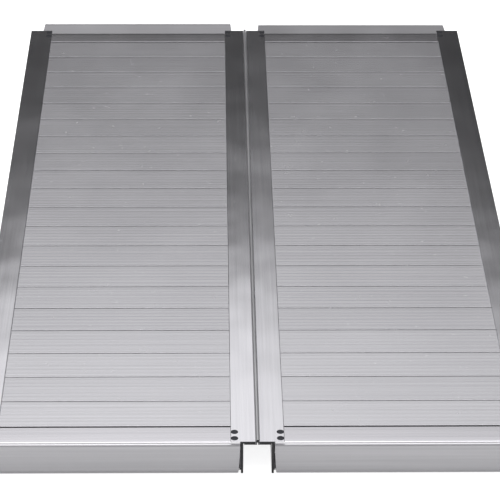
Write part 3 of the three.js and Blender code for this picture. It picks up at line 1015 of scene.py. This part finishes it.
def bail_path(samples=161):
    """Down one arm, round a corner, along the grip and back up, at even steps of length."""
    half, low = HANDLE_HALF, HANDLE_LOW
    corners = [[half, ARM_TOP], [half, low], [-half, low], [-half, ARM_TOP]]
    rough_path = rounded(corners, [0, BEND, BEND, 0], steps=16)
    run = np.concatenate([[0], np.cumsum(np.linalg.norm(np.diff(rough_path, axis=0), axis=1))])
    s = np.linspace(0, run[-1], samples)
    return np.stack([np.interp(s, run, rough_path[:, i]) for i in (0, 1)], -1), s / run[-1]


def bail_solid(around=24):
    """Path point plus cosine times the in-plane half-size plus sine times the half-thickness."""
    centre, t = bail_path()
    ahead = np.gradient(centre, axis=0)
    ahead /= np.linalg.norm(ahead, axis=1, keepdims=True)
    across = np.stack([-ahead[:, 1], ahead[:, 0]], -1)
    grip = np.clip((np.abs(t - 0.5) - 0.30) / -0.06, 0, 1)
    wave = GRIP_WAVE * np.cos(2 * np.pi * (t - 0.5) * WAVES) * grip
    end = np.minimum(t, 1 - t) * PATH_LENGTH
    dome = np.sqrt(np.clip(1 - (1 - np.clip(end / END_DOME, 0, 1)) ** 2, 0.0004, 1))
    tall = (3.6 + 1.4 * grip + wave) * dome
    thick = (3.4 + 0.5 * grip) * dome
    v = np.linspace(0, 2 * np.pi, around, endpoint=False)[None]
    yz = centre[:, None, :] + across[:, None, :] * (tall[:, None] * np.cos(v))[..., None]
    x = thick[:, None] * np.sin(v)
    points = np.concatenate([x[..., None], yz], -1)
    rows, n = x.shape
    faces = grid_faces(rows, n).tolist()
    faces += [list(range(n))[::-1], list(range((rows - 1) * n, rows * n))]
    return points.reshape(-1, 3), faces


def trunnions(near=54.0, far=64.0, radius=2.0, bevel=0.3):
    """Two short pins along Y, from the arms into the lugs."""
    circle = arc(radius, 0, 345, 23)
    parts = []
    for start, stop in ((near, far), (-far, -near)):
        stations = [start, start + bevel, stop - bevel, stop]
        parts.append(carried(circle, 1, stations, [bevel, 0, 0, bevel]))
    return several(parts)


# %% [markdown]
# The base is a plate with rounded corners and two ears, and it is fixed with four small screws.
# Plate and ears are carried profiles again, this time with the first and last stations drawn in
# a little, so that the ends are rounded over as well.


# %% Handle bases and screws
BASE_HALF, BASE_LOW, BASE_HIGH = 81.5, -15.5, 4.5  # half length, and heights from the pivot
BASE_BACK, BASE_FACE = -13.7, -10.7  # across the rail, from the pivot
PIVOT_X, PIVOT_Z = 359.0, 42.0
SCREW_HEAD = [
    (0.3, 0.0), (3.1, 0.0), (3.2, 0.5), (2.6, 1.2),
    (1.5, 1.5), (1.2, 1.45), (1.1, 0.8), (0.2, 0.75),
]
SCREWS = [(-74.0, -0.5), (-74.0, -10.5), (74.0, -0.5), (74.0, -10.5)]  # (Y, Z) from the pivot


def base_solid():
    """Plate against the web, and a lug with a round nose at each end of the bail."""
    half, low, high = BASE_HALF, BASE_LOW, BASE_HIGH
    plate = rounded([(-half, low), (half, low), (half, high), (-half, high)], 5.0, steps=6)
    parts = [carried(plate, 0, [BASE_BACK, BASE_FACE - 0.5, BASE_FACE], [0.0, 0.0, 0.5])]
    nose = np.concatenate([[[-12.0, 4.4], [-12.0, -4.4]], arc(4.5, 270, 450, 18)])
    for middle in (-LUG, LUG):
        stations = middle + np.array([-2.5, -2.0, 2.0, 2.5])
        parts.append(carried(nose, 1, stations, [0.4, 0, 0, 0.4]))
    return several(parts)


def screws():
    """Four turned heads laid on their sides, so that they point out of the plate."""
    heads, faces = turned(SCREW_HEAD, [(0.0, 0.0, 0.0)] * len(SCREWS), around=16)
    at = np.repeat([(BASE_FACE, y, z) for y, z in SCREWS], len(heads) // len(SCREWS), 0)
    return heads[:, [2, 0, 1]] + at, faces


def facing_out(points, sign):
    """From the handle's own place to the rail on that side; a half turn about Z for the left."""
    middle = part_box("handle_base_left")[0].y / MM + BASE_HALF
    return (points * [sign, sign, 1] + np.array([sign * PIVOT_X, middle, PIVOT_Z])) * MM


# %% [markdown]
# Everything above was drawn round the pivot of the right-hand handle. A half turn about the
# vertical makes the left one. Only the bail moves with its joint. The base and the screws stay
# with the panel.

# %% Put the handles on
for side, sign in SIDES.items():
    points, faces = base_solid()
    make_piece(
        f"handle_base_{side}_cast", facing_out(points, sign), faces, f"{side}_panel",
        paint_finish, [f"handle_base_{side}"], 35,
    )
    points, faces = several([bail_solid(), trunnions()])
    make_piece(
        f"handle_bail_{side}_grip", facing_out(points, sign), faces, f"handle_{side}",
        grip_finish, [f"handle_bail_{side}"], 35,
    )
    points, faces = screws()
    make_piece(
        f"handle_screws_{side}", facing_out(points, sign), faces, f"{side}_panel",
        rivet_finish,
    )
print("handles: two, with", len(SCREWS), "screws each")

# %% [markdown]
# ## The floor
#
# A large pale sheet that also glows a little, so that it stays white right up to the ramp and in
# the channel under its hinge. Most of the glow is for the eye alone: the metal mirrors a dimmer
# sheet, or its sides would be lost against it. It is a disc worked out as rings, very slightly
# mottled so that it doesn't read as a flat colour.


# %% Floor disc
def floor_finish():
    """Matt, near-white, with a faint slow mottle."""
    r = Recipe("pale_floor")
    mottle = r.noise((0.8, 0.8, 0.8), detail=3.0)
    r.feed(r.shader.inputs["Base Color"], r.tint(mottle, (0.6, 0.6, 0.6), (0.64, 0.64, 0.64)))
    r.shader.inputs["Roughness"].default_value = 1.0
    r.shader.inputs["Specular IOR Level"].default_value = 0.0
    r.shader.inputs["Emission Color"].default_value = (1.0, 1.0, 1.0, 1.0)
    seen = r.add("ShaderNodeLightPath").outputs["Is Camera Ray"]
    r.feed(r.shader.inputs["Emission Strength"], r.between(seen, 0.0, 1.0, 0.2, 0.82))
    return r.material


FLOOR_RINGS, SPOKES = (0.001, 2.0, 6.0, 14.0), 64
FLOOR_Z = -0.0002  # a hair under the feet

rings = np.array(FLOOR_RINGS)[:, None]
t = np.linspace(0, 2 * np.pi, SPOKES, endpoint=False)[None]
flat = np.full((len(FLOOR_RINGS), SPOKES), FLOOR_Z)
disc = np.stack([rings * np.cos(t), rings * np.sin(t), flat], -1)
floor_faces = grid_faces(len(FLOOR_RINGS), SPOKES).tolist() + [list(range(SPOKES))]
floor_mesh = bpy.data.meshes.new("floor")
floor_mesh.from_pydata(disc.reshape(-1, 3).tolist(), [], floor_faces)
floor_mesh.materials.append(floor_finish())
floor = bpy.data.objects.new("floor", floor_mesh)
scene.collection.objects.link(floor)
print("floor: a disc", 2 * FLOOR_RINGS[-1], "m across")
